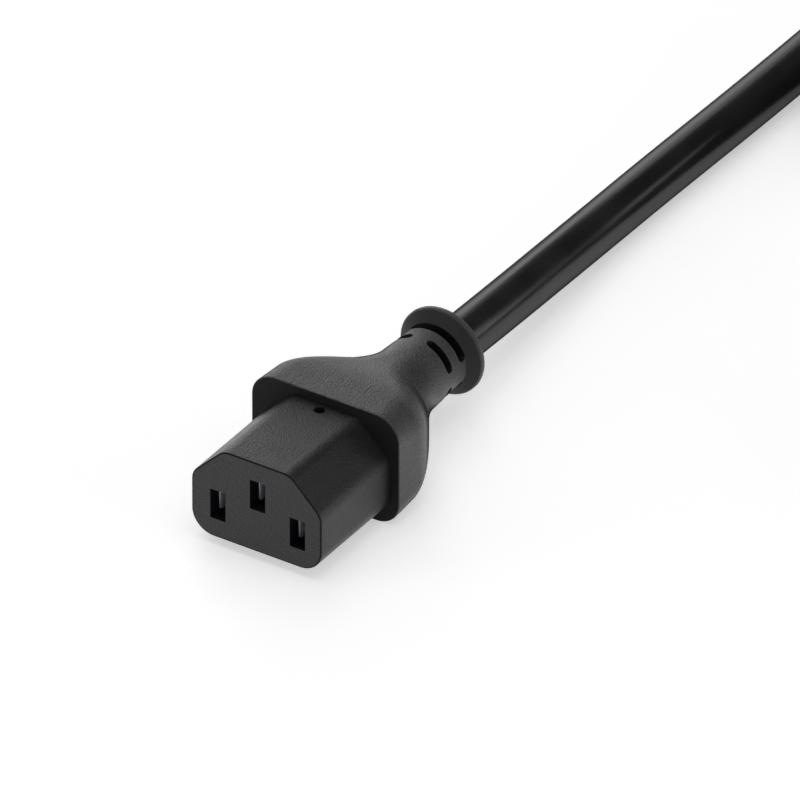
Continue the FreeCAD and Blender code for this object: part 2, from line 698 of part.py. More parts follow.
def makeCord():
    diameter = number("Sizes.cordDiameter")
    jacketStart = number(connectorFrame[1]) + number(connectorJacket)
    connectorAxis = number(connectorFrame[2])
    onFloor = diameter / 2
    coilStation = number("Sizes.coilY - Sizes.coilEndSetback")
    coilStartX = number("Sizes.coilX - Sizes.coilRadius")
    coilEndX = number("Sizes.coilX + Sizes.coilRadius")
    upperLayer = 1.5 * diameter
    keepShape("cord", cordShape([
        vector(0, jacketStart, connectorAxis),
        vector(0, 27.9, connectorAxis),
        vector(-0.5, 42.9, 7.3),
        vector(-1.8, 58.9, 5.3),
        vector(-2.7, 72.9, 4.0),
        vector(-3.0, 88.4, onFloor),
        vector(coilStartX, 116.1, onFloor),
        vector(coilStartX, coilStation, onFloor),
    ], diameter, "cord"))
    plugAxis = number(plugFrame[2])
    plugAcross = number("Sizes.plugX")
    keepShape("cord_tail", cordShape([
        vector(coilEndX, coilStation, upperLayer),
        vector(coilEndX, 131.8, upperLayer),
        vector(98.3, 120.1, 11.5),
        vector(93.4, 109.1, 11.3),
        vector(plugAcross, 93.8, plugAxis),
        vector(plugAcross, number(plugFrame[1]) + number(plugJacket), plugAxis),
    ], diameter, "cord_tail"))


def ring(name, shrink):
    outer = f"(Sizes.coilRadius + Sizes.cordDiameter / 2 - {shrink})"
    inner = f"(Sizes.coilRadius - Sizes.coilLayerTurns * Sizes.cordDiameter - Sizes.cordDiameter / 2 + {shrink})"
    low, high = shrink, f"2 * Sizes.cordDiameter - {shrink}"
    slant = f"(Sizes.coilChamfer - {2 - math.sqrt(2)} * {shrink})"
    corners = [
        (f"{inner} + {slant}", low, 0),
        (f"{outer} - {slant}", low, 0),
        (outer, f"{low} + {slant}", 0),
        (outer, f"{high} - {slant}", 0),
        (f"{outer} - {slant}", high, 0),
        (f"{inner} + {slant}", high, 0),
        (inner, f"{high} - {slant}", 0),
        (inner, f"{low} + {slant}", 0),
    ]
    centre = ("Sizes.coilX", "Sizes.coilY", "0")
    return revolve(name, outline(name + "Section", corners, centre, frontTurn), up, centre)


def makeCoil():
    centre = ("Sizes.coilX", "Sizes.coilY", "0")
    reach = "(Sizes.coilRadius + Sizes.cordDiameter)"
    wholeRing = ring("CoilRing", "0")
    slicePlace = offset(centre, "-Sizes.tieWidth / 2", 0, -beyond)
    tieSlice = box("TieSlice", slicePlace, "Sizes.tieWidth", reach, f"2 * Sizes.cordDiameter + 2 * {beyond}")
    band = document.addObject("Part::Common", "TieBand")
    band.Base = ring("TieRing", "0")
    band.Tool = tieSlice
    tie = keep("cord_tie", cut("cord_tie_cut", band, ring("TieCore", "Sizes.tieThickness")))

    # The outermost turn of a layer is open where the cord comes in or leaves it, on one side of the coil.
    def notch(name, left, low):
        depth = f"Sizes.cordDiameter + Sizes.notchClearance + {beyond}"
        place = offset(centre, left, f"-{reach} - Sizes.coilEndSetback", low)
        opening = box(name + "Box", place, reach, reach, depth)
        turns = cylinder(name + "Turns", offset(centre, 0, 0, low), flatTurn,
                         "Sizes.coilRadius - Sizes.cordDiameter / 2 - Sizes.notchClearance", depth)
        return cut(name, opening, turns)

    startNotch = notch("StartNotch", f"-{reach}", -beyond)
    endNotch = notch("EndNotch", "0", "Sizes.cordDiameter - Sizes.notchClearance")
    keep("cord_coil", cut("cord_coil_cut", wholeRing, fuse("CoilCuts", [tie, startNotch, endNotch])))


makeConnector()
makePlug()
makeCord()
makeCoil()
document.recompute()

# Every object must have worked out, and every sub-part must be sound, before anything is written.
for item in document.Objects:
    if "Invalid" in item.State or "Error" in item.State:
        raise RuntimeError(f"{item.Name} failed: {item.State}")
for label, item in subParts.items():
    if item.Shape.isNull() or not item.Shape.isValid():
        raise RuntimeError(f"{label} has no sound shape")

os.makedirs("parts", exist_ok=True)
for label, item in subParts.items():
    item.Shape.exportStep(f"parts/{label}.step")
    print(label, len(item.Shape.Solids), round(item.Shape.Volume, 2))
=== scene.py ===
import json
import math

import bmesh
import bpy
import numpy as np
from mathutils import Matrix, Vector
from mathutils.geometry import delaunay_2d_cdt


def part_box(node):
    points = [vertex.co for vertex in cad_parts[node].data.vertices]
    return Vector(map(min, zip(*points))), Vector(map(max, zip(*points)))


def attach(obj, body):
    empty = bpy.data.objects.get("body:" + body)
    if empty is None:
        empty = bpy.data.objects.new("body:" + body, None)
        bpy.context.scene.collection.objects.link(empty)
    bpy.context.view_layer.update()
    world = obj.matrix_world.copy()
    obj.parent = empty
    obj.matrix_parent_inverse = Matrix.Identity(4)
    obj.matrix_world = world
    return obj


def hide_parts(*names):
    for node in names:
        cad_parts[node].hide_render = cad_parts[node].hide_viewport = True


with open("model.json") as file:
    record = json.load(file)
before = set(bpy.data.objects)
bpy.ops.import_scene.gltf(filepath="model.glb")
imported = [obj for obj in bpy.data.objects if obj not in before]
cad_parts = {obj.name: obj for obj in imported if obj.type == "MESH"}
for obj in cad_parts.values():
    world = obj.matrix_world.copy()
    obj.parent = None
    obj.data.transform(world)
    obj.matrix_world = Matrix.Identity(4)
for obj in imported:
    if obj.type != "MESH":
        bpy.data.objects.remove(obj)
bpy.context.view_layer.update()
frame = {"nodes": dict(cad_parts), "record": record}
print("frame loaded:", len(frame["nodes"]), "nodes")

mm = 0.001   # sizes and stations are in millimetres, and what a shader takes is in metres
around = np.radians(np.arange(360))   # one step a degree round a moulding's axis


# Camera: fitted to the slots, nose, grip, collar and cord edges of the photograph

view = {
    "azimuth": 33.15,
    "elevation": 33.55,
    "pixelsPerMm": 6.80,
    "distance": 5.0,              # metres, so the view is nearly parallel
    "imageSize": 800,
    "facePixel": (256.4, 507.6),  # where the middle of the connector's face shows
    "sensor": 36.0,
}


def towards(azimuth, elevation):
    # the direction from the object to a place round it, where azimuth 0 is in front
    turn, lift = math.radians(azimuth), math.radians(elevation)
    return Vector((math.sin(turn) * math.cos(lift), -math.cos(turn) * math.cos(lift), math.sin(lift)))


def makeCamera(facePoint):
    turn = math.radians(view["azimuth"])
    back = towards(view["azimuth"], view["elevation"])
    right = Vector((math.cos(turn), math.sin(turn), 0))
    top = back.cross(right)
    half = view["imageSize"] / 2
    step = mm / view["pixelsPerMm"]
    aim = Vector(facePoint) + right * (half - view["facePixel"][0]) * step
    aim += top * (view["facePixel"][1] - half) * step
    data = bpy.data.cameras.new("camera")
    data.sensor_width = view["sensor"]
    data.lens = view["pixelsPerMm"] / mm * view["distance"] * view["sensor"] / view["imageSize"]
    data.clip_start, data.clip_end = 0.5, 100   # metres
    camera = bpy.data.objects.new("camera", data)
    turned = Matrix((right, top, back)).transposed().to_4x4()
    camera.matrix_world = Matrix.Translation(aim + back * view["distance"]) @ turned
    bpy.context.scene.collection.objects.link(camera)
    bpy.context.scene.camera = camera


# Shader maths written as expressions: a socket with its tree, whose sums and products add their own nodes

class Wire:
    def __init__(self, tree, socket=None):
        self.tree, self.socket = tree, socket

    def plug(self, socket, value):
        if isinstance(value, Wire):
            self.tree.links.new(value.socket, socket)
        else:
            socket.default_value = value

    def node(self, kind, settings=None, sockets=None, output=0):
        made = self.tree.nodes.new(kind)
        for name, value in (settings or {}).items():
            setattr(made, name, value)
        for name, value in (sockets or {}).items():
            self.plug(made.inputs[name], value)
        return Wire(self.tree, made.outputs[output]) if made.outputs else None

    def output(self, name):
        return Wire(self.tree, self.socket.node.outputs[name])

    def maths(self, operation, *values):
        return self.node("ShaderNodeMath", {"operation": operation}, dict(enumerate(values)))

    def __add__(self, other):
        return self.maths("ADD", self, other)

    __radd__ = __add__

    def __mul__(self, other):
        return self.maths("MULTIPLY", self, other)

    __rmul__ = __mul__

    def __sub__(self, other):
        return self.maths("SUBTRACT", self, other)

    def __rsub__(self, other):
        return self.maths("SUBTRACT", other, self)

    def between(self, low, high, toLow=0.0, toHigh=1.0):
        sockets = {"Value": self, "From Min": low, "From Max": high, "To Min": toLow, "To Max": toHigh}
        return self.node("ShaderNodeMapRange", {"clamp": True}, sockets)


def newMaterial(name):
    material = bpy.data.materials.new(name)
    material.use_nodes = True
    material.node_tree.nodes.clear()
    return material, Wire(material.node_tree)


def place(tree, scale=(1, 1, 1)):
    # the piece's own coordinates, so that a pattern stays on it
    coordinates = tree.node("ShaderNodeTexCoord", output="Object")
    return tree.node("ShaderNodeMapping", None, {"Vector": coordinates, "Scale": scale})


def noise(tree, vector, scale, detail=2.0, roughness=0.5):
    sockets = {"Vector": vector, "Scale": scale, "Detail": detail, "Roughness": roughness}
    return tree.node("ShaderNodeTexNoise", None, sockets)


def mixColours(tree, factor, first, second):
    return tree.node("ShaderNodeMix", {"data_type": "RGBA"}, {0: factor, 6: first, 7: second}, output=2)


def bump(tree, height, distance, strength=1.0):
    return tree.node("ShaderNodeBump", None, {"Height": height, "Distance": distance, "Strength": strength})


def finish(material, tree, sockets, rim=None):
    # With a rim, the gloss fades to a dull black where the surface turns from the eye, between two values of
    # Facing: a painted dark outline of shade along the silhouette.
    shader = tree.node("ShaderNodeBsdfPrincipled", None, sockets)
    if rim:
        paintedRimShade = tree.node("ShaderNodeBsdfPrincipled", None, {
            "Base Color": (0.006, 0.006, 0.006, 1), "Roughness": 0.9, "Specular IOR Level": 0.1})
        facing = tree.node("ShaderNodeLayerWeight", None, {"Blend": 0.5}).output("Facing")
        shader = tree.node("ShaderNodeMixShader", None, {0: facing.between(*rim), 1: shader, 2: paintedRimShade})
    tree.node("ShaderNodeOutputMaterial", None, {"Surface": shader})
    return material


# Moulded black PVC with a fine spark-eroded grain, as a bump and a shade. Its dark and pale tones go from the
# first value to the second between two stations along Y; on the body this is painted light, the neck and
# collar paler than the flare.
mouldedLook = {"grainScale": 3600.0, "cloudScale": 160.0, "cloudRough": 0.08, "grainRough": 0.3}
noseLook = {**mouldedLook, "depth": 0.00014, "stations": (0, 1), "dark": (0.006, 0.006),
            "pale": (0.014, 0.014), "rough": 0.37, "specular": 0.42, "rim": None}
# the body's tones are darker over the flare and paler from the neck on, as painted light, and its rim is a
# painted dark outline
bodyLook = {**mouldedLook, "depth": 0.0003, "stations": (36, 41), "dark": (0.003, 0.014),
            "pale": (0.011, 0.027), "rough": 0.35, "specular": 0.7, "rim": (0.78, 0.92)}


def mouldedPvc(name, look, origin):
    material, tree = newMaterial(name)
    spot = place(tree)
    along = tree.node("ShaderNodeSeparateXYZ", None, {0: spot}).output("Y")
    # the share of the paler tones, painted light along the body
    share = along.between(*[origin + station * mm for station in look["stations"]])
    grain = noise(tree, spot, look["grainScale"], 2.0, 0.6)
    cloud = noise(tree, spot, look["cloudScale"])
    dark, pale = (mixColours(tree, share, *[(tone, tone, tone * 1.03, 1) for tone in look[end]])
                  for end in ("dark", "pale"))
    return finish(material, tree, {
        "Base Color": mixColours(tree, grain.between(0.35, 0.65), dark, pale),
        "Roughness": look["rough"] + (cloud - 0.5) * look["cloudRough"] + (grain - 0.5) * look["grainRough"],
        "Specular IOR Level": look["specular"],
        "Normal": bump(tree, grain, look["depth"]),
    }, look["rim"])


# Extruded jacket: satin, with a slow clouding and a very fine bloom, and a painted dark outline at its rim.
jacketLook = {"grainScale": 2600.0, "cloudScale": 90.0, "depth": 0.00001, "dark": (0.013, 0.013, 0.014, 1),
              "pale": (0.019, 0.019, 0.020, 1), "rough": (0.23, 0.26), "grainRough": 0.05, "specular": 0.36,
              "rim": (0.42, 0.85)}


def jacketPvc(name):
    look = jacketLook
    material, tree = newMaterial(name)
    spot = place(tree)
    grain = noise(tree, spot, look["grainScale"], 2.0, 0.6)
    cloud = noise(tree, spot, look["cloudScale"])
    return finish(material, tree, {
        "Base Color": mixColours(tree, cloud.between(0.35, 0.65), look["dark"], look["pale"]),
        "Roughness": cloud.between(0.3, 0.7, *look["rough"]) + (grain - 0.5) * look["grainRough"],
        "Specular IOR Level": look["specular"],
        "Normal": bump(tree, grain, look["depth"]),
    }, look["rim"])


def shaded(tree, mask, colour, darker):
    # the colour where the mask is high, and a darker share of it where the mask is low
    return mixColours(tree, mask.between(0.3, 0.7), (*[part * darker for part in colour], 1), (*colour, 1))


def plainPlastic(name, colour, rough, specular=0.5):
    # an even moulded plastic with a faint grain
    material, tree = newMaterial(name)
    grain = noise(tree, place(tree), 1800.0)
    return finish(material, tree, {
        "Base Color": shaded(tree, grain, colour, 0.85),
        "Roughness": grain.between(0.3, 0.7, rough - 0.04, rough + 0.04),
        "Specular IOR Level": specular,
        "Normal": bump(tree, grain, 0.00001),
    })


def metal(name, colour, rough, brush, share=1.0):
    # rolled strip: fine lines along Y, with a slow clouding of the plating
    material, tree = newMaterial(name)
    lines = noise(tree, place(tree, brush), 900.0, 3.0, 0.6)
    cloud = noise(tree, place(tree), 350.0)
    return finish(material, tree, {
        "Base Color": shaded(tree, cloud, colour, 0.82),
        "Metallic": share,
        "Roughness": lines.between(0.3, 0.7, rough - 0.06, rough + 0.06),
        "Normal": bump(tree, lines, 0.000006),
    })


def twoColourCore(name):
    # green insulation with a yellow stripe along the middle of the earth core
    material, tree = newMaterial(name)
    spot = place(tree)
    sideways = tree.node("ShaderNodeSeparateXYZ", None, {0: spot})
    grain = noise(tree, spot, 500.0)
    stripe = tree.maths("ABSOLUTE", sideways + (grain - 0.5) * 0.0002).between(0.0006, 0.0007)
    return finish(material, tree, {
        "Base Color": mixColours(tree, stripe, (0.65, 0.52, 0.03, 1), (0.03, 0.22, 0.05, 1)),
        "Roughness": grain.between(0.3, 0.7, 0.34, 0.42),
        "Normal": bump(tree, grain, 0.00001),
    })


# Hook-and-loop strap: woven ribs across it on its own UV map, with a napped sheen.
strapLook = {"ribs": 9000.0, "fuzzScale": 2600.0, "ribHeight": 0.4, "fuzzHeight": 0.8, "depth": 0.0002,
             "dark": (0.010, 0.010, 0.011, 1), "pale": (0.03, 0.03, 0.032, 1), "rough": (0.78, 0.92),
             "sheen": 0.25}


def strapFabric(name):
    look = strapLook
    material, tree = newMaterial(name)
    uv = tree.node("ShaderNodeUVMap", {"uv_map": "strap"})
    along = tree.node("ShaderNodeSeparateXYZ", None, {0: uv})
    ribs = [tree.maths("SINE", direction * look["ribs"]) for direction in (along, along.output("Y"))]
    fuzz = noise(tree, uv, look["fuzzScale"], 4.0, 0.7)
    height = ribs[0] * ribs[1] * look["ribHeight"] + fuzz * look["fuzzHeight"]
    return finish(material, tree, {
        "Base Color": mixColours(tree, fuzz.between(0.35, 0.7), look["dark"], look["pale"]),
        "Roughness": fuzz.between(0.3, 0.7, *look["rough"]),
        "Sheen Weight": look["sheen"],
        "Normal": bump(tree, height, look["depth"]),
    })


# Outlines and meshes worked out as arrays

def roundedWalk(corners):
    # The corners run anticlockwise as (across, up, radius), and each is rounded by its radius: its arc is
    # centred on the bisector, at radius / sin(half angle), and the straight sides join the arcs' ends.
    points = np.array([corner[:2] for corner in corners], float)
    walk = []
    for point, before, after, corner in zip(points, np.roll(points, 1, 0), np.roll(points, -1, 0), corners):
        back = (before - point) / np.linalg.norm(before - point)
        ahead = (after - point) / np.linalg.norm(after - point)
        halfAngle = math.acos(float(np.clip(back @ ahead, -1, 1))) / 2
        middle = (back + ahead) / np.linalg.norm(back + ahead)
        centre = point + middle * corner[2] / math.sin(halfAngle)
        sweep = math.pi / 2 - halfAngle
        bend = math.atan2(-middle[1], -middle[0]) + np.linspace(-sweep, sweep, 33)
        walk.append(centre + corner[2] * np.stack([np.cos(bend), np.sin(bend)], 1))
    return np.concatenate(walk + [walk[0][:1]])


def atLengths(walk, lengths):
    # points of a closed outline at these distances along it
    gone = np.concatenate([[0], np.cumsum(np.linalg.norm(np.diff(walk, axis=0), axis=1))])
    return np.stack([np.interp(lengths, gone, walk[:, axis], period=gone[-1]) for axis in (0, 1)], 1)


def outlineLength(walk):
    return float(np.linalg.norm(np.diff(walk, axis=0), axis=1).sum())


def star(corners):
    # the distance from the axis to a rounded outline, at each step round the axis
    walk = roundedWalk(corners)
    fine = atLengths(walk, np.linspace(0, outlineLength(walk), 7200, endpoint=False))
    angle = np.arctan2(fine[:, 1], fine[:, 0]) % (2 * math.pi)
    order = np.argsort(angle)
    return np.interp(around, angle[order], np.hypot(*fine[order].T), period=2 * math.pi)


def rectangle(halfWidth, halfHeight, radius, inset=0.0):
    # a rounded rectangle round the axis; an inset moves every side in by the same amount
    w, h, r = halfWidth - inset, halfHeight - inset, max(radius - inset, 0.02)
    return star([(-w, -h, r), (w, -h, r), (w, h, r), (-w, h, r)])


def poleShape(size, inset=0.0):
    # round corners below and slanted corners above; an inset moves every side in by the same amount
    w, h = size["width"] / 2 - inset, size["height"] / 2 - inset
    slant = size["chamfer"] - (2 - math.sqrt(2)) * inset
    low, ridge = max(size["cornerRadius"] - inset, 0.05), max(size["ridgeRadius"] - inset, 0.05)
    return star([(-w, -h, low), (w, -h, low), (w, h - slant, ridge), (w - slant, h, ridge),
                 (-w + slant, h, ridge), (-w, h - slant, ridge)])


# a face's material, as its number on the piece: the grip's is also that of the flare, neck and collar
# hole, ledge and collarFront carry painted shade: near-black in the slots, vent, pocket and along the face's
# edge, and duller, darker copies of the plastic on the ledge and the collar's front
surface = {"nose": 0, "hole": 1, "ledge": 2, "grip": 3, "collarFront": 4}


class Shell:
    # A mesh gathered from loops and flat plates, in millimetres round an axis that runs along Y. Every
    # face keeps the number of its material.
    def __init__(self):
        self.points, self.faces, self.numbers, self.count = [], [], [], 0

    def add(self, points, faces, numbers=0):
        self.points.append(np.asarray(points, float))
        self.faces += [[index + self.count for index in face] for face in faces]
        self.numbers.append(np.broadcast_to(numbers, len(faces)))
        self.count += len(points)

    def sleeve(self, stations, radii, number=0, sunk=None):
        # loops at the stations, each point at its own distance from the axis, joined by quads; the number
        # is one for all, or one for each row of quads
        stations, radii = np.asarray(stations, float), np.asarray(radii, float)
        number = np.repeat(np.broadcast_to(number, len(stations) - 1), radii.shape[1])
        points = np.stack([radii * np.cos(around), np.broadcast_to(stations[:, None], radii.shape),
                           radii * np.sin(around)], 2)
        quads = quadGrid(*radii.shape)
        if sunk is not None:   # a quad with a side or more below the surface is part of a slot
            # slot quads take the hole's number, a near-black painted shade
            number = np.where((sunk.reshape(-1)[quads] > 0.05).sum(1) > 1, surface["hole"], number)
        self.add(points.reshape(-1, 3), quads.tolist(), number)

    def plate(self, station, radii, holes=(), number=0):
        # a flat plate inside a loop, as triangles, with its holes left open
        rim = np.stack([radii * np.cos(around), radii * np.sin(around)], 1)
        loops, points = [], []
        for outline in [rim, *holes]:
            loops.append(list(range(len(points), len(points) + len(outline))))
            points += map(Vector, outline)
        made = delaunay_2d_cdt(points, [], loops, 2 if holes else 1, 1e-6)
        flat, faces = made[0], made[2]
        keepers = []
        for face in faces:
            middle = sum((flat[i] for i in face), Vector((0, 0))) / len(face)
            if not any(inside(hole, middle) for hole in holes):
                keepers.append(face)
        self.add(np.insert(np.array(flat), 1, station, axis=1), keepers, number)

    def tube(self, outline, near, far):
        # straight walls of a hole from one station to another
        points = np.concatenate([np.insert(outline, 1, station, axis=1) for station in (near, far)])
        # the walls take the hole's near-black painted shade
        self.add(points, quadGrid(2, len(outline)).tolist(), surface["hole"])

    def bar(self, stations, middles, halfWidths, lows, highs, edge=0.1):
        # a closed bar along Y, its section a rectangle with rounded corners at every station
        rows = len(stations)
        sizes = (middles, halfWidths, lows, highs)
        middles, halfWidths, lows, highs = (np.broadcast_to(values, rows)[:, None] for values in sizes)
        bend = np.radians([0, 30, 60, 90])
        across, up = [], []
        for turn, x, z in ((0, 1, 1), (90, -1, 1), (180, -1, -1), (270, 1, -1)):
            side = np.cos(bend + math.radians(turn)) * edge, np.sin(bend + math.radians(turn)) * edge
            across.append(middles + x * (halfWidths - edge) + side[0])
            up.append((highs - edge if z > 0 else lows + edge) + side[1])
        across, up = np.concatenate(across, 1), np.concatenate(up, 1)
        points = np.stack([across, np.broadcast_to(np.asarray(stations)[:, None], across.shape), up], 2)
        count = across.shape[1]
        caps = [list(range(count)), list(range((rows - 1) * count, rows * count))]
        self.add(points.reshape(-1, 3), quadGrid(rows, count).tolist() + caps)

    def build(self, name, origin, materials, sharpAngle=32.0):
        mesh = bpy.data.meshes.new(name)
        points = (np.concatenate(self.points) + np.asarray(origin)) * mm
        mesh.from_pydata(points.tolist(), [], self.faces)
        mesh.polygons.foreach_set("material_index", np.concatenate(self.numbers).astype(np.int32))
        closeMesh(mesh)
        mesh.set_sharp_from_angle(angle=math.radians(sharpAngle))
        return wrap(name, mesh, *materials)


def quadGrid(rows, columns):
    # quads of a grid whose rows are closed loops
    first = np.arange(rows - 1)[:, None] * columns + np.arange(columns)
    after = np.arange(rows - 1)[:, None] * columns + (np.arange(columns) + 1) % columns
    return np.stack([first, after, after + columns, first + columns], 2).reshape(-1, 4)


def closeMesh(mesh):
    shape = bmesh.new()
    shape.from_mesh(mesh)
    bmesh.ops.remove_doubles(shape, verts=shape.verts, dist=0.000002)
    bmesh.ops.recalc_face_normals(shape, faces=shape.faces)
    shape.to_mesh(mesh)
    shape.free()
    mesh.polygons.foreach_set("use_smooth", np.ones(len(mesh.polygons), bool))


def inside(outline, point):
    # by the outline's extent, which is enough for the slots
    low, high = np.min(outline, 0), np.max(outline, 0)
    return low[0] < point[0] < high[0] and low[1] < point[1] < high[1]


def wrap(name, data, *materials):
    # an object at the origin, with its place in its data
    piece = bpy.data.objects.new(name, data)
    for material in materials:
        data.materials.append(material)
    bpy.context.scene.collection.objects.link(piece)
    return piece


def show(piece, slot, *nodes):
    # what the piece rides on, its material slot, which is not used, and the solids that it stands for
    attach(piece, "root")
    if nodes:
        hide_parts(*nodes)
    return piece


def quarter(steps=5):
    return np.linspace(0, math.pi / 2, steps + 1)


def smooth(share):
    share = np.clip(share, 0, 1)
    return share * share * (3 - 2 * share)


def blockOutline(x, z, width, height, radius=0.12):
    # an opening's outline: a rectangle with small round corners
    corners = []
    for sideX, sideZ, start in ((-1, -1, math.pi), (1, -1, 1.5 * math.pi), (1, 1, 0), (-1, 1, math.pi / 2)):
        bend = start + np.linspace(0, math.pi / 2, 4)
        centre = (x + sideX * (width / 2 - radius), z + sideZ * (height / 2 - radius))
        corners.append(np.stack([centre[0] + radius * np.cos(bend), centre[1] + radius * np.sin(bend)], 1))
    return np.concatenate(corners)


# Sizes in millimetres of what both ends share behind the grip: the flare, the neck with its relief slots,
# and the collar.
reliefSize = {
    "flareEndRadius": 5.75, "flarePower": 0.95, "flareBulge": 2.0, "neckRadius": 5.55, "neckTaper": 4.0,
    "neckLength": 7.15, "collarRadius": 7.25, "collarLength": 2.6, "collarStart": 0.1, "lean": 1.5,
    "frontRound": 0.2, "rearRound": 0.45, "floorRadius": 4.1, "wallStep": 0.07,
    "boreRadius": 3.95, "boreDepth": 12.2, "boreRim": 0.35, "boreRound": 0.12,
    # rings of slots as (middle behind the neck's front, width, middles and half length round the axis in
    # degrees)
    "slotRings": [(2.95, 1.42, (45, 135, 225, 315), 30.5), (6.40, 1.48, (80, 270), 64.0)],
}


def flareLoops(rear, length, halfWidth, halfHeight, radius, steps=44):
    # Half a cosine wave from the grip's section to the round neck. The corners' radius grows with the
    # same wave, and by half a sine more in between, where the section turns oval.
    size = reliefSize
    gone = np.linspace(0, 1, steps + 1)
    share = (1 + np.cos(math.pi * gone ** size["flarePower"])) / 2
    end = size["flareEndRadius"]
    radii = []
    for s, t in zip(share, gone):
        w, h = end + (halfWidth - end) * s, end + (halfHeight - end) * s
        corner = end * (1 - s) + radius * s + size["flareBulge"] * math.sin(math.pi * t)
        radii.append(rectangle(w, h, min(corner, h - 0.01)))
    return rear + length * gone, np.array(radii)


def reliefLoops(front):
    # The neck's taper, with slots sunk to the floor radius. A slot is every point nearer than half its
    # width to an arc round the neck, so its ends are round; its wall drops within wallStep.
    size = reliefSize
    stations = [np.linspace(front, front + size["neckLength"], 24)]
    for middle, width, _, _ in size["slotRings"]:
        edge = width / 2 + 0.12
        stations.append(front + middle + np.linspace(-edge, edge, 38))
    stations = np.unique(np.concatenate(stations).round(4))
    stations = stations[stations < front + size["neckLength"] - 0.001]
    taper = np.clip((stations - front) / size["neckTaper"], 0, 1)
    neck = size["flareEndRadius"] + (size["neckRadius"] - size["flareEndRadius"]) * taper
    sunk = np.zeros((len(stations), len(around)))
    degrees = np.degrees(around)
    for middle, width, middles, halfLength in size["slotRings"]:
        turn = np.min([np.abs((degrees - angle + 180) % 360 - 180) for angle in middles], 0)
        past = np.radians(turn) * size["neckRadius"]
        straight = math.radians(halfLength) * size["neckRadius"] - width / 2
        lengthways = np.maximum(past - straight, 0)
        away = np.hypot(lengthways[None, :], (stations - front - middle)[:, None])
        sunk = np.maximum(sunk, smooth((width / 2 - away) / size["wallStep"] + 0.5))
    radii = neck[:, None] * (1 - sunk) + size["floorRadius"] * sunk
    return stations, radii, sunk


def collarLoops(front):
    # the collar's leaning front, rounded edges and flat rear, and the bore that the cord lies in
    size = reliefSize
    near = front + size["neckLength"]
    far = near + size["collarLength"]
    neck, r, edge, back = (size[name] for name in ("neckRadius", "collarRadius", "frontRound", "rearRound"))
    lean, start, bore, mouth = (size[name] for name in ("lean", "collarStart", "boreRadius", "boreRound"))
    rows = [(near, bore), (near, neck), (near, neck + 0.02)]
    rows += [(near + start + (lean - start) * t, neck + start + (r - edge - neck - start) * t)
             for t in (0, 0.33, 0.67, 1)]
    rows += [(near + lean + edge * math.sin(a), r - edge * (1 - math.sin(a))) for a in quarter()[1:]]
    rows += [(far - back + back * math.sin(a), r - back + back * math.cos(a)) for a in quarter(7)]
    rows += [(far, bore + size["boreRim"])]
    rows += [(far - mouth + mouth * math.cos(a), bore + mouth - mouth * math.sin(a)) for a in quarter(3)]
    rows += [(far - size["boreDepth"], bore), (far - size["boreDepth"], 0.001)]
    rows = np.array(rows)
    return rows[:, 0], np.repeat(rows[:, 1][:, None], len(around), 1)


def addBack(shell, gripStations, gripRadii, rear, length, halfWidth, halfHeight, radius):
    # grip, flare, relief and collar in one run of loops, with how far each point is sunk in a slot
    flareStations, flareRadii = flareLoops(rear, length, halfWidth, halfHeight, radius)
    reliefStations, reliefRadii, reliefSunk = reliefLoops(rear + length)
    collarStations, collarRadii = collarLoops(rear + length)
    stations = np.concatenate([gripStations, flareStations, reliefStations[1:], collarStations])
    radii = np.concatenate([gripRadii, flareRadii, reliefRadii[1:], collarRadii])
    collarSunk = np.zeros_like(collarRadii)
    collarSunk[0] = 1
    collarSunk[1] = reliefSunk[-1]
    sunk = np.concatenate([np.zeros_like(gripRadii), np.zeros_like(flareRadii), reliefSunk[1:], collarSunk])
    numbers = np.full(len(stations) - 1, surface["grip"])
    neckEnd = len(stations) - len(collarStations) + 2
    # the collar's front takes a duller, darker copy of the plastic as painted shade
    numbers[neckEnd:neckEnd + 4] = surface["collarFront"]   # up to the collar's rounded edge
    shell.sleeve(stations, radii, numbers, sunk)


# Socket connector

connectorSize = {
    "width": 22.8, "height": 15.6, "chamfer": 5.5, "cornerRadius": 3.8, "ridgeRadius": 2.8,
    "noseLength": 18.5, "faceRound": 0.16, "paintedShadeLine": 0.08,
    "gripWidth": 26.0, "gripHeight": 18.7, "gripLength": 5.4, "gripFrontRadius": 4.1, "gripRearRadius": 4.9,
    "gripEdge": 0.14, "flareLength": 17.1,
    "slotWidth": 2.7, "slotHeight": 5.05, "slotDepth": 2.4,
    "wall": 1.5, "pocketRidge": 1.6, "pocketEnd": 22.05,
    "poleSpacing": 7.0, "poleDrop": 2.1, "earthRise": 2.0, "slotShift": 0.2,
    "ventRadius": 0.8, "ventStation": 16.95, "ventDepth": 1.3,
}


def sinkVent(stations, radii, size):
    # a round blind hole in the top of the nose: points within its radius go down by its depth
    x = radii * np.cos(around)
    away = np.hypot(x, np.asarray(stations)[:, None] - size["ventStation"])
    sunk = smooth((size["ventRadius"] - away) / 0.1 + 0.5) * (np.sin(around) > 0)
    return radii - size["ventDepth"] * sunk, sunk


def poleHeight(size, side):
    # the earth pole is in the middle, above the two others
    return -size["poleDrop"] if side else size["earthRise"]


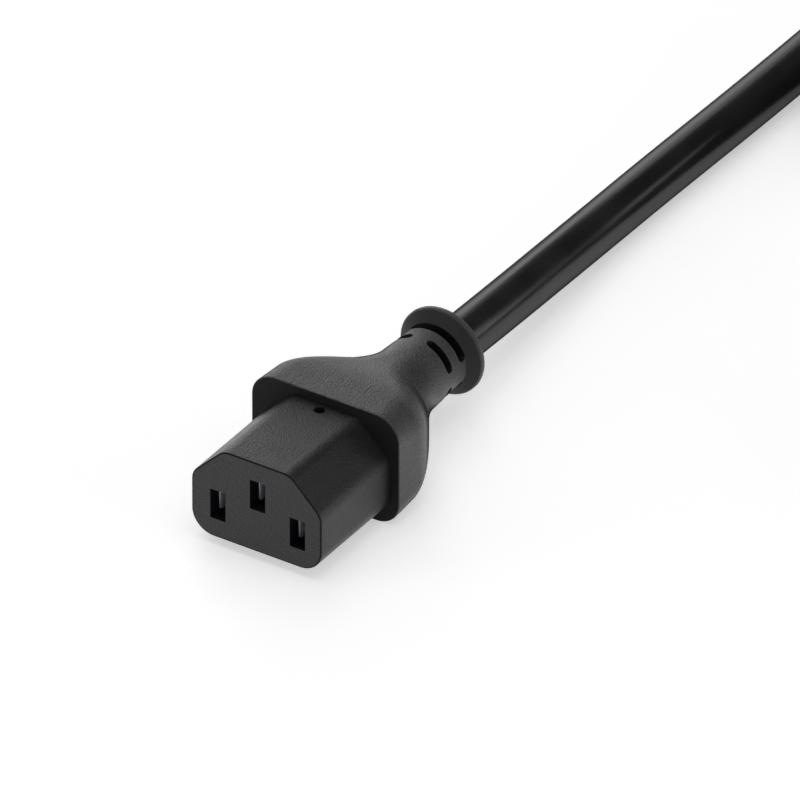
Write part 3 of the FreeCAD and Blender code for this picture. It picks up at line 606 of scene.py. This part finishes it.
def makeConnector(materials):
    size = connectorSize
    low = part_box("connector_housing")[0]
    origin = (0.0, low.y / mm, low.z / mm + size["gripHeight"] / 2)
    shell = Shell()
    slots = []
    for side in (-1, 0, 1):
        across = side * size["poleSpacing"] + size["slotShift"]
        slots.append(blockOutline(across, poleHeight(size, side), size["slotWidth"], size["slotHeight"]))
    edge, front = size["faceRound"], size["noseLength"]
    nose = poleShape(size)
    faceRim = poleShape(size, edge + size["paintedShadeLine"])
    stations = [0.0] + [edge - edge * math.cos(a) for a in quarter()]
    radii = [faceRim] + [poleShape(size, edge - edge * math.sin(a)) for a in quarter()]
    # the face's edge takes the hole's near-black: a fine dark line of painted shade
    shell.sleeve(stations, radii, surface["hole"])   # the face's edge is a fine dark line
    vent, reach = size["ventStation"], size["ventRadius"] + 0.15
    stations = np.concatenate([np.linspace(edge, vent - reach, 14),
                               np.linspace(vent - reach, vent + reach, 26)[1:], [front - 0.3, front]])
    radii, sunk = sinkVent(stations, np.repeat(nose[None], len(stations), 0), size)
    shell.sleeve(stations, radii, surface["nose"], sunk)
    # the ledge round the nose, then its rounded edge and the grip's sides, which round off more towards
    # the flare
    halfWidth, halfHeight = size["gripWidth"] / 2, size["gripHeight"] / 2
    rim = size["gripEdge"]
    outer = rectangle(halfWidth, halfHeight, size["gripFrontRadius"], rim)
    ledge = [nose + (outer - nose) * share for share in np.linspace(0, 1, 7)]
    # the ledge takes a duller, darker copy of the plastic: painted shade in the corner behind the nose
    shell.sleeve([front] * len(ledge), ledge, surface["ledge"])
    frontRadius, rearRadius = size["gripFrontRadius"], size["gripRearRadius"]
    stations = [front + rim - rim * math.cos(a) for a in quarter()]
    radii = [rectangle(halfWidth, halfHeight, frontRadius, rim - rim * math.sin(a)) for a in quarter()]
    for share in np.linspace(0, 1, 10)[1:-1]:
        stations.append(front + rim + (size["gripLength"] - rim) * share)
        radii.append(rectangle(halfWidth, halfHeight, frontRadius + (rearRadius - frontRadius) * share))
    addBack(shell, stations, radii, front + size["gripLength"], size["flareLength"], halfWidth, halfHeight,
            rearRadius)
    shell.plate(0.0, faceRim, slots)
    for outline in slots:
        shell.tube(outline, 0.0, size["slotDepth"])
    # the pocket behind the face, closed at its end
    pocket = poleShape(dict(size, ridgeRadius=size["pocketRidge"]), size["wall"])
    shell.plate(size["slotDepth"], pocket, slots, surface["hole"])
    shell.sleeve([size["slotDepth"], size["pocketEnd"]], [pocket, pocket], surface["hole"])
    shell.plate(size["pocketEnd"], pocket, (), surface["hole"])
    return show(shell.build("connectorHousing", origin, materials), "connector_pvc", "connector_housing")


# Contact: two sprung leaves that pinch the blade, under a spine, with a heel and a crimp behind

contactSize = {
    "front": 2.5, "halfHeight": 2.6, "strip": 0.45, "length": 16.05, "cornerRadius": 0.5,
    "gapStations": (0.0, 0.5, 4.8, 5.8, 9.4, 16.05), "gaps": (2.5, 2.2, 1.8, 1.8, 2.5, 2.5),
    "spineSetback": 2.6, "crimpRadius": 1.25, "crimpLength": 2.25,
}


def makeContact(name, side, material):
    size, housing = contactSize, connectorSize
    strip, half, radius = size["strip"], size["halfHeight"], size["cornerRadius"]
    stations = np.concatenate([[0.0, 0.03, 0.08, 0.16], np.linspace(0.25, size["length"], 62)])
    widths = np.interp(stations, size["gapStations"], size["gaps"]) / 2
    thick = strip / 2 * np.interp(stations, [0, 0.03, 0.08, 0.16], [0.45, 0.7, 0.9, 1.0])
    fromCorner = np.clip(radius - stations, 0, radius)
    lows = -half + radius - np.sqrt(radius ** 2 - fromCorner ** 2)
    shell = Shell()
    for sign in (-1, 1):
        shell.bar(stations, sign * (widths + strip / 2), thick, lows, half, 0.09)
    heel = size["gaps"][-1] / 2
    far = size["length"]
    shell.bar([far - strip, far], 0.0, heel, -half, half, 0.05)
    shell.bar(np.linspace(size["spineSetback"], far, 4), 0.0, heel + strip, half - 0.01, half + strip, 0.1)
    crimp = np.full(len(around), size["crimpRadius"])
    end = far + size["crimpLength"]
    shell.sleeve([far, far, end - 0.1, end, end], [crimp * 0.01, crimp, crimp, crimp * 0.93, crimp * 0.01])
    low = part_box("connector_housing")[0]
    origin = (side * housing["poleSpacing"] + housing["slotShift"], low.y / mm + size["front"],
              low.z / mm + housing["gripHeight"] / 2 + poleHeight(housing, side))
    piece = shell.build(name, origin, [material], 40.0)
    return show(piece, "contact_brass", name.replace("Contact", "_contact"))


# Pin plug at the far end

plugSize = {
    "width": 28.0, "height": 20.0, "chamfer": 6.0, "cornerRadius": 4.2, "ridgeRadius": 2.2,
    "shroudLength": 19.5, "wall": 1.75, "faceRound": 0.4, "cavityDepth": 17.9,
    "gripWidth": 28.8, "gripHeight": 20.8, "gripLength": 7.0, "gripRadius": 4.8, "gripEdge": 0.35,
    "flareLength": 16.3, "axis": (90.2, 38.5, 10.4),
    "pinWidth": 2.0, "pinHeight": 4.0, "pinEdge": 0.28, "pinTip": 0.75, "pinRoot": 4.8,
    "pinReach": 12.0, "earthReach": 13.5,   # how far the pins stand out of the cavity's floor
    "crimpRadius": 1.25, "crimpLength": 1.6, "poleSpacing": 7.0, "poleDrop": 2.0, "earthRise": 2.0,
}


def makePlug(materials):
    size = plugSize
    edge, wall, depth = size["faceRound"], size["wall"], size["cavityDepth"]
    inner = poleShape(size, wall)
    # from the cavity's floor out along its walls, over the rim, and back along the shroud
    stations = [depth, depth - 0.4] + list(np.linspace(depth - 1, edge, 12))
    radii = [inner] * len(stations)
    for a in quarter()[1:]:
        stations.append(edge - edge * math.sin(a))
        radii.append(poleShape(size, wall - edge + edge * math.cos(a)))
    for a in quarter():
        stations.append(edge - edge * math.cos(a))
        radii.append(poleShape(size, edge - edge * math.sin(a)))
    outside = poleShape(size)
    for station in np.linspace(edge, size["shroudLength"], 16)[1:]:
        stations.append(station)
        radii.append(outside)
    shell = Shell()
    shell.sleeve(stations, radii)
    halfWidth, halfHeight, rim = size["gripWidth"] / 2, size["gripHeight"] / 2, size["gripEdge"]
    front = size["shroudLength"]
    stations, radii = [front], [outside]
    for a in quarter():
        stations.append(front + rim - rim * math.cos(a))
        radii.append(rectangle(halfWidth, halfHeight, size["gripRadius"], rim - rim * math.sin(a)))
    for station in np.linspace(front + rim, front + size["gripLength"], 10)[1:-1]:
        stations.append(station)
        radii.append(rectangle(halfWidth, halfHeight, size["gripRadius"]))
    addBack(shell, stations, radii, front + size["gripLength"], size["flareLength"], halfWidth, halfHeight,
            size["gripRadius"])
    shell.plate(depth, inner)
    return show(shell.build("plugHousing", size["axis"], materials), "plug_pvc", "plug_housing")


def makePin(name, side, material):
    # A flat blade with rounded edges: its section is inset towards the tip along a slant and a small
    # round, and a round crimp follows its root.
    size = plugSize
    reach = size["pinReach"] if side else size["earthReach"]
    tip, edge = size["pinTip"], size["pinEdge"]
    rows = [(0.0, tip), (0.0, 0.6 * tip), (0.03, 0.5 * tip), (0.1, 0.42 * tip), (0.55 * tip, 0.18 * tip),
            (0.85 * tip, 0.05 * tip), (1.05 * tip, 0.01), (1.3 * tip, 0.0)]
    root = reach + size["pinRoot"]
    rows += [(station, 0.0) for station in np.linspace(1.5, root, 14)]
    halfWidth, halfHeight = size["pinWidth"] / 2, size["pinHeight"] / 2
    stations = [station for station, _ in rows]
    radii = [rectangle(halfWidth, halfHeight, edge + 0.3 * inset, inset) for _, inset in rows]
    crimp = np.full(len(around), size["crimpRadius"])
    stations += [root, root, root + size["crimpLength"], root + size["crimpLength"]]
    radii += [np.minimum(radii[-1], crimp), np.minimum(radii[-1], crimp), crimp * 0.999, crimp * 0.001]
    shell = Shell()
    shell.sleeve([stations[0]] + stations, [radii[0] * 0.001] + radii)
    x, y, z = size["axis"]
    origin = (x + side * size["poleSpacing"], y + size["cavityDepth"] - reach, z + poleHeight(size, side))
    return show(shell.build(name, origin, [material], 40.0), "pin_nickel", name.replace("Pin", "_pin"))


# Cord: the route's points are those of the part's source, and the coil's turns are worked out between them

cordSize = {
    "diameter": 7.6, "exit": (0, 25.1, 9.35), "coilCentre": (49.05, 144.9), "coilRadius": 51.45,
    "layerTurns": 2.75, "pointsPerTurn": 16, "riseTurns": 0.2, "tieRise": 0.85, "tieTurn": 0.25,
}
routeToCoil = [(0, 12.9, 9.35), (0.05, 27.9, 8.75), (-0.75, 42.9, 7.4), (-2.2, 58.9, 5.4), (-3.1, 72.9, 4.1),
               (-3.2, 88.4, 3.8), (-2.5, 116.1, 3.8), (-2.4, 143.4, 3.8)]
routeToPlug = [(100.5, 143.4, 11.4), (100.5, 131.8, 11.4), (98.3, 120.1, 11.5), (93.4, 109.1, 11.3),
               (90.2, 93.8, 10.4), (90.2, 78.3, 10.4)]


def coilPoints():
    # Two flat spirals, one on the other: inwards on the floor, up at the inner end, and outwards again.
    # The points stand outside the turns, so that the smooth line touches their radius.
    size = cordSize
    step = 1 / size["pointsPerTurn"]
    turns = np.arange(step / 2, 2 * size["layerTurns"], step)
    inwards = size["layerTurns"] - np.abs(turns - size["layerTurns"])
    radius = (size["coilRadius"] - size["diameter"] * inwards) / math.cos(math.pi * step)
    rise = np.clip((turns - size["layerTurns"]) / size["riseTurns"] + 0.5, 0, 1)
    height = size["diameter"] * (0.5 + rise * rise * (3 - 2 * rise))
    fromTie = (turns - size["tieTurn"] + 0.5) % 1 - 0.5
    height = height + size["tieRise"] * np.exp(-(fromTie / 0.07) ** 2)
    angle = math.pi - 2 * math.pi * turns
    return np.stack([size["coilCentre"][0] + radius * np.cos(angle),
                     size["coilCentre"][1] + radius * np.sin(angle), height], 1).tolist()


def makeCord(material):
    points = routeToCoil + coilPoints() + routeToPlug
    data = bpy.data.curves.new("cord", "CURVE")
    data.dimensions = "3D"
    spline = data.splines.new("NURBS")
    spline.points.add(len(points) - 1)
    spline.points.foreach_set("co", np.insert(np.array(points) * mm, 3, 1.0, axis=1).ravel())
    spline.order_u = 3
    spline.use_endpoint_u = True
    spline.resolution_u = 10
    data.bevel_depth = cordSize["diameter"] * mm / 2
    data.bevel_resolution = 10
    data.use_fill_caps = True
    return show(wrap("cordJacket", data, material), "cord_pvc", "cord", "cord_coil", "cord_tail")


# Tie: a woven hook-and-loop strap, once round the coil and lapped over its own start

tieSize = {
    "radial": 41.95, "middle": 8.42, "halfAcross": 11.75, "halfUp": 7.97, "corner": 4.2,
    "width": 9.0, "thickness": 0.8, "lap": 13.0, "lapGap": 0.06,
    "startsAt": 60.0,   # along the path, so that the lap lies on the coil's inner side
}


def makeTie(material):
    # The strap's path is a rounded rectangle round the turns, followed for its length and the lap; over
    # the lap it lies one thickness further out. Across it, a flat loop with round edges is carried along.
    size = tieSize
    a, b, r = size["halfAcross"], size["halfUp"], size["corner"]
    walk = roundedWalk([(-a, -b, r), (a, -b, r), (a, b, r), (-a, b, r)])
    whole = outlineLength(walk)
    along = np.linspace(0, whole + size["lap"], 240)
    spots = atLengths(walk, along + size["startsAt"])
    ahead = atLengths(walk, along + size["startsAt"] + 0.05) - spots
    outward = np.stack([ahead[:, 1], -ahead[:, 0]], 1) / np.linalg.norm(ahead, axis=1)[:, None]
    lift = smooth((along - whole + 5) / 4) * (size["thickness"] + size["lapGap"])
    halfWidth, half = size["width"] / 2, size["thickness"] / 2
    section = []
    for side in (1, -1):
        section += [(side * halfWidth * t, side * half) for t in np.linspace(-0.9, 0.9, 13)]
        bend = np.linspace(math.pi / 2, -math.pi / 2, 6)[1:-1]
        section += [(side * (halfWidth - half + half * math.cos(t)), side * half * math.sin(t)) for t in bend]
    section = np.array(section)
    fromEnd = np.minimum(along, along[-1] - along)
    narrow = np.sqrt(np.clip(1 - (1 - np.clip(fromEnd / 3.2, 0, 1)) ** 2, 0.02, 1))
    across = section[None, :, 0] * narrow[:, None]
    radial = size["radial"] + spots[:, 0:1] + outward[:, 0:1] * (lift[:, None] + section[None, :, 1])
    height = size["middle"] + spots[:, 1:2] + outward[:, 1:2] * (lift[:, None] + section[None, :, 1])
    cx, cy = cordSize["coilCentre"]
    points = np.stack([cx + across, cy + radial, height], 2) * mm
    rows, columns = across.shape
    quads = quadGrid(rows, columns)
    caps = [list(range(columns)), list(range((rows - 1) * columns, rows * columns))]
    mesh = bpy.data.meshes.new("coilTie")
    mesh.from_pydata(points.reshape(-1, 3).tolist(), [], quads.tolist() + caps)
    uv = np.stack([np.broadcast_to(along[:, None], across.shape), across], 2).reshape(-1, 2) * mm
    corner = np.zeros(len(mesh.loops), np.int32)
    mesh.loops.foreach_get("vertex_index", corner)
    layer = mesh.uv_layers.new(name="strap")
    layer.data.foreach_set("uv", uv[corner].reshape(-1))
    closeMesh(mesh)
    return show(wrap("coilTie", mesh, material), "tie_fabric", "cord_tie")


# Light, floor and backdrop

lightSize = {
    "horizonLight": 0.82, "zenithLight": 0.02, "horizonTop": (0.14, 0.19),
    "floorColour": 0.80, "floorGlow": 0.509, "floorReach": 4.0,
    "lampDistance": 1.2, "lampSide": 0.7, "lowLampSide": 0.5, "lowBelow": 20, "lampAim": (0.01, 0.03, 0.01),
    # softboxes as azimuth and elevation in degrees, and watts; those below lowBelow are the smaller ones
    "lamps": {
        "topLight": (0, 88, 2.11), "keyLight": (45, 65, 1.35), "highSideLight": (90, 65, 1.18),
        "frontLight": (0, 42, 0.60), "leftLight": (315, 14, 1.68), "highLeftLight": (300, 65, 0.64),
        "lowBackLight": (225, 14, 1.74), "backLight": (225, 42, 2.10), "highBackLight": (225, 65, 1.42),
        "farLight": (135, 14, 1.23), "sideLight": (90, 14, 1.73),
    },
}


def seenRays(tree):
    # one for what the camera sees straight, in a reflection or through something clear
    rays = tree.node("ShaderNodeLightPath")
    return (rays + rays.output("Is Glossy Ray") + rays.output("Is Transmission Ray")).between(0, 1)


def makeWorld():
    # a light tent: pale from the horizon up to nine degrees, and dark above
    world = bpy.data.worlds.new("studio")
    world.use_nodes = True
    world.node_tree.nodes.clear()
    tree = Wire(world.node_tree)
    direction = tree.node("ShaderNodeTexCoord", output="Generated")
    height = tree.node("ShaderNodeSeparateXYZ", None, {0: direction}).output("Z")
    strength = height.between(*lightSize["horizonTop"], lightSize["horizonLight"], lightSize["zenithLight"])
    backdrop = tree.node("ShaderNodeBackground", None, {"Color": (1, 1, 1, 1), "Strength": strength})
    tree.node("ShaderNodeOutputWorld", None, {"Surface": backdrop})
    bpy.context.scene.world = world


def makeFloor():
    # a white board that keeps the object's shadow, and glows a little only in what is seen
    data = bpy.data.meshes.new("floor")
    side = lightSize["floorReach"]
    data.from_pydata([(-side, -side, 0), (side, -side, 0), (side, side, 0), (-side, side, 0)], [],
                     [(0, 1, 2, 3)])
    material, tree = newMaterial("floor")
    shade = lightSize["floorColour"]
    board = tree.node("ShaderNodeBsdfDiffuse", None, {"Color": (shade, shade, shade, 1)})
    glow = tree.node("ShaderNodeEmission", None, {
        "Color": (1, 1, 1, 1), "Strength": seenRays(tree) * lightSize["floorGlow"]})
    both = tree.node("ShaderNodeAddShader", None, {0: board, 1: glow})
    tree.node("ShaderNodeOutputMaterial", None, {"Surface": both})
    wrap("floor", data, material)


def makeLamp(name, azimuth, elevation, power):
    size = lightSize
    back = towards(azimuth, elevation)
    side = size["lowLampSide"] if elevation < size["lowBelow"] else size["lampSide"]
    data = bpy.data.lights.new(name, "AREA")
    data.shape, data.size, data.size_y, data.energy = "RECTANGLE", side, side, power
    lamp = bpy.data.objects.new(name, data)
    lamp.location = Vector(size["lampAim"]) + back * size["lampDistance"]
    lamp.rotation_mode = "QUATERNION"
    lamp.rotation_quaternion = back.to_track_quat("Z", "Y")
    bpy.context.scene.collection.objects.link(lamp)


bpy.context.scene.view_settings.view_transform = "Standard"
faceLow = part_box("connector_housing")[0]
makeCamera((0, faceLow.y, faceLow.z + connectorSize["gripHeight"] / 2 * mm))
makeWorld()
makeFloor()
for name, lamp in lightSize["lamps"].items():
    makeLamp(name, *lamp)
print("camera, floor and", len(lightSize["lamps"]), "lamps set")

nosePvc = mouldedPvc("nosePvc", noseLook, faceLow.y)
gripPvc = mouldedPvc("gripPvc", bodyLook, faceLow.y)
plugGripPvc = mouldedPvc("plugGripPvc", bodyLook, plugSize["axis"][1] * mm)
# painted shade: near-black and dull for the insides of the slots, the vent, the pocket and the face's edge
slotPaintedShade = plainPlastic("slotPaintedShade", (0.004, 0.0045, 0.007), 0.7, 0.2)
# painted shade: a duller, darker copy of the plastic for the ledge round the nose
ledgePaintedShade = plainPlastic("ledgePaintedShade", (0.018, 0.018, 0.018), 0.6, 0.12)
# painted shade: a duller, darker copy of the plastic for the collar's front
collarPaintedShade = plainPlastic("collarPaintedShade", (0.033, 0.033, 0.033), 0.6, 0.2)
cordPvc = jacketPvc("cordPvc")
carrierPlastic = plainPlastic("carrierPlastic", (0.010, 0.010, 0.011), 0.5)
contactMetal = metal("contactMetal", (0.68, 0.72, 0.80), 0.45, (1, 0.05, 1), 0.35)
pinMetal = metal("pinMetal", (0.72, 0.72, 0.74), 0.22, (1, 0.05, 1))
copper = metal("copper", (0.72, 0.36, 0.20), 0.35, (1, 0.1, 1))
brownCore = plainPlastic("brownCore", (0.16, 0.07, 0.035), 0.38)
blueCore = plainPlastic("blueCore", (0.03, 0.12, 0.42), 0.38)
earthCore = twoColourCore("earthCore")
strap = strapFabric("strap")

slotMaterials = {
    "connector_pvc": nosePvc, "plug_pvc": nosePvc, "cord_pvc": cordPvc,
    "carrier_plastic": carrierPlastic, "tie_fabric": strap, "contact_brass": contactMetal,
    "pin_nickel": pinMetal, "conductor_copper": copper, "core_brown": brownCore, "core_blue": blueCore,
    "core_green_yellow": earthCore,
}
for entry in frame["record"]["subparts"]:
    node = frame["nodes"][entry["node"]]
    node.data.materials.clear()
    node.data.materials.append(slotMaterials[entry["material_slot"]])
print("materials made")

# a housing's materials stand in the order of the surface numbers
makeConnector([nosePvc, slotPaintedShade, ledgePaintedShade, gripPvc, collarPaintedShade])
for name, side in (("neutralContact", -1), ("earthContact", 0), ("lineContact", 1)):
    makeContact(name, side, contactMetal)
print("connector made")
cordPiece = makeCord(cordPvc)
tiePiece = makeTie(strap)
print("cord and tie made")
plugPiece = makePlug([nosePvc, slotPaintedShade, ledgePaintedShade, plugGripPvc, collarPaintedShade])
pinPieces = [makePin(name, side, pinMetal)
             for name, side in (("linePin", 1), ("neutralPin", -1), ("earthPin", 0))]
print("plug made")
